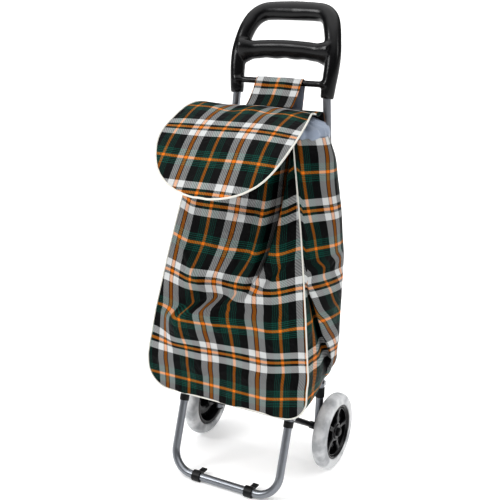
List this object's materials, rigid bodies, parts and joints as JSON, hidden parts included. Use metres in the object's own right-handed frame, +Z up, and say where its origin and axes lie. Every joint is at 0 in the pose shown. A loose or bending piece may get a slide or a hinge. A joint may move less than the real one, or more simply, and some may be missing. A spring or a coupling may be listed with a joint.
{
  "type": "shopping trolley on wheels",
  "caption": "Upright shopping trolley: a bent tube frame with a moulded handle and floor bar, side wheels and a tapered tartan bag closed by a rounded flap.",
  "frame": {"origin": "on the floor, under the middle of the whole trolley's box", "axes": "+Z up, the bag's front faces -Y, +X to the trolley's right-hand side as seen from the front of the bag (viewer looking along +Y)"},
  "size_m": [0.36, 0.3815, 0.938],
  "materials": {
    "frame_paint": "satin silver-grey paint",
    "bare_steel": "zinc plated",
    "black_plastic": "moulded, satin",
    "handle_plastic": "moulded, glossy",
    "hub_plastic": "moulded, glossy",
    "tyre_foam": "light grey foam, faintly mottled",
    "tartan_cloth": "woven tartan, black, green, orange and grey",
    "lining_cloth": "plain black weave",
    "collar_cloth": "thin satin, light blue-grey",
    "piping": "cream piping",
    "webbing": "black webbing",
    "board_plastic": "plain sheet"
  },
  "bodies": {
    "frame": {"upright_left": "frame_paint", "upright_right": "frame_paint", "foot_frame": "frame_paint", "brace_left": "frame_paint", "brace_right": "frame_paint", "upright_plug_left": "black_plastic", "upright_plug_right": "black_plastic", "leg_band_left": "black_plastic", "leg_band_right": "black_plastic", "foot_glide_left": "black_plastic", "foot_glide_right": "black_plastic", "axle_cap_left": "hub_plastic", "axle_cap_right": "hub_plastic", "axle_spacer_left": "black_plastic", "axle_spacer_right": "black_plastic", "axle": "bare_steel", "arm_bolts": "bare_steel", "leg_bolts": "bare_steel", "handle": "handle_plastic", "handle_screws": "bare_steel", "bag_front": "tartan_cloth", "bag_back": "lining_cloth", "bag_side_left": "tartan_cloth", "bag_side_right": "tartan_cloth", "bag_floor": "lining_cloth", "bag_board": "board_plastic", "bag_collar": "collar_cloth", "front_piping": "piping", "hanging_strap": "tartan_cloth", "tie_loop_left": "webbing", "tie_loop_right": "webbing"},
    "wheel_left": {"hub_left": "hub_plastic", "tyre_left": "tyre_foam"},
    "wheel_right": {"hub_right": "hub_plastic", "tyre_right": "tyre_foam"},
    "flap": {"bag_flap": "tartan_cloth", "flap_piping": "piping"}
  },
  "joints": [
    {"name": "wheel_left_spin", "type": "hinge", "parent": "frame", "child": "wheel_left", "pos_m": [-0.1536, 0.0704, 0.08], "axis": [1, 0, 0], "continuous": true},
    {"name": "wheel_right_spin", "type": "hinge", "parent": "frame", "child": "wheel_right", "pos_m": [0.1536, 0.0704, 0.08], "axis": [1, 0, 0], "continuous": true},
    {"name": "flap_open", "type": "hinge", "parent": "frame", "child": "flap", "pos_m": [0, 0.0974, 0.736], "axis": [-1, 0, 0], "range_deg": [0, 85]}
  ]
}
